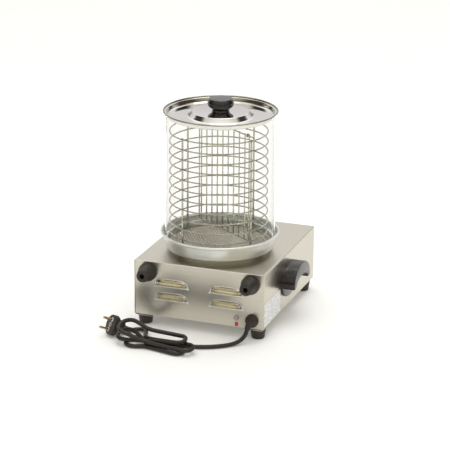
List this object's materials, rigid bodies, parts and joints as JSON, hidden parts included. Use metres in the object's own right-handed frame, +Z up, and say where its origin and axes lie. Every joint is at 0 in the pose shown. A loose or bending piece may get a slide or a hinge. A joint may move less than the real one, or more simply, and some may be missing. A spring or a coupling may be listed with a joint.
{
  "type": "hot dog steamer",
  "caption": "Countertop hot dog steamer: stainless box with a heated water pan, a lidded glass cylinder around a wire basket, a side handle, rear vents and a mains lead.",
  "frame": {"origin": "on the standing surface, under the middle of the whole outline, side handle included", "axes": "+Z up, the control panel faces -Y, the vents and the mains lead face +Y"},
  "size_m": [0.3078, 0.4415, 0.4055],
  "materials": {
    "stainless": "satin stainless sheet",
    "rubber": "matt moulded rubber",
    "zinc": "zinc-plated hardware",
    "red_mark": "plain red tab",
    "label": "blank label film",
    "handle_plastic": "dark moulded thermoset, half gloss",
    "dark_gasket": "matt",
    "aluminium": "spun, satin",
    "cast_aluminium": "as cast",
    "element_sheath": "dull heat-tinted sheath",
    "mineral_wool": "pressed fibre",
    "bakelite": "matt thermoset",
    "glass": "clear heat-resisting glass",
    "wire_steel": "electropolished wire",
    "polished_steel": "mirror-polished pressing",
    "black_knob": "gloss thermoset",
    "dial": "brushed disc",
    "copper": "drawn copper",
    "switch_black": "half gloss",
    "rocker_red": "translucent red",
    "lamp_red": "translucent red",
    "terminal_white": "matt",
    "wire_sleeve": "silicone sleeving",
    "cord_rubber": "rubber-sheathed lead",
    "tie_black": "coated wire tie",
    "plug_rubber": "moulded rubber plug",
    "plug_insert": "pale plastic",
    "brass": "bright pins"
  },
  "bodies": {
    "box": {"housing_shell": "stainless", "base_plate": "stainless", "rear_panel": "stainless", "front_panel": "stainless", "foot_front_left": "rubber", "foot_front_right": "rubber", "foot_rear_left": "rubber", "foot_rear_right": "rubber", "foot_screws": "zinc", "wall_bumper_left": "rubber", "wall_bumper_right": "rubber", "bumper_screws": "zinc", "earth_screw": "zinc", "earth_mark": "red_mark", "rating_label": "label", "side_handle": "handle_plastic", "handle_screws": "zinc", "pan_neck": "dark_gasket", "water_pan": "aluminium", "glass_seat": "aluminium", "heater_plate": "cast_aluminium", "heating_element": "element_sheath", "heater_studs": "zinc", "insulation_pad": "mineral_wool", "heat_shield": "zinc", "over_temperature_cutout": "bakelite", "dial_plate": "dial", "thermostat_body": "bakelite", "thermostat_nut": "zinc", "capillary_bulb": "copper", "switch_body": "switch_black", "pilot_body": "switch_black", "pilot_lens": "lamp_red", "terminal_block": "terminal_white", "inner_wires": "wire_sleeve", "cable_gland": "rubber", "power_cord": "cord_rubber", "cord_hank": "cord_rubber", "cord_tie": "tie_black", "cord_tail": "cord_rubber", "plug_body": "plug_rubber", "plug_inserts": "plug_insert", "plug_pins": "brass", "plug_contact": "brass"},
    "knob_unit": {"control_knob": "black_knob", "thermostat_shaft": "zinc"},
    "rocker": {"rocker_cap": "rocker_red"},
    "glass": {"glass_cylinder": "glass"},
    "lid": {"lid": "polished_steel", "lid_knob": "black_knob", "lid_knob_screw": "zinc"},
    "basket": {"basket_rings": "wire_steel", "basket_rods": "wire_steel"},
    "divider": {"basket_divider": "wire_steel"},
    "diffuser": {"diffuser_plate": "aluminium"}
  },
  "joints": [
    {"name": "thermostat_turn", "type": "hinge", "parent": "box", "child": "knob_unit", "pos_m": [-0.03825, -0.1447, 0.07], "axis": [0, 1, 0], "range_deg": [0, 270]},
    {"name": "rocker_tilt", "type": "hinge", "parent": "box", "child": "rocker", "pos_m": [0.04775, -0.1427, 0.07], "axis": [1, 0, 0], "range_deg": [-20, 0]},
    {"name": "glass_lift", "type": "slide", "parent": "box", "child": "glass", "axis": [0, 0, 1], "range_m": [0, 0.24]},
    {"name": "lid_lift", "type": "slide", "parent": "glass", "child": "lid", "axis": [0, 0, 1], "range_m": [0, 0.4]},
    {"name": "basket_lift", "type": "slide", "parent": "box", "child": "basket", "axis": [0, 0, 1], "range_m": [0, 0.24]},
    {"name": "divider_lift", "type": "slide", "parent": "basket", "child": "divider", "axis": [0, 0, 1], "range_m": [0, 0.12]},
    {"name": "diffuser_lift", "type": "slide", "parent": "box", "child": "diffuser", "axis": [0, 0, 1], "range_m": [0, 0.22]}
  ],
  "couplings": [
    {"joint": "basket_lift", "follows": "lid_lift", "ratio": 0.6},
    {"joint": "divider_lift", "follows": "lid_lift", "ratio": 0.3},
    {"joint": "diffuser_lift", "follows": "lid_lift", "ratio": 0.55}
  ]
}
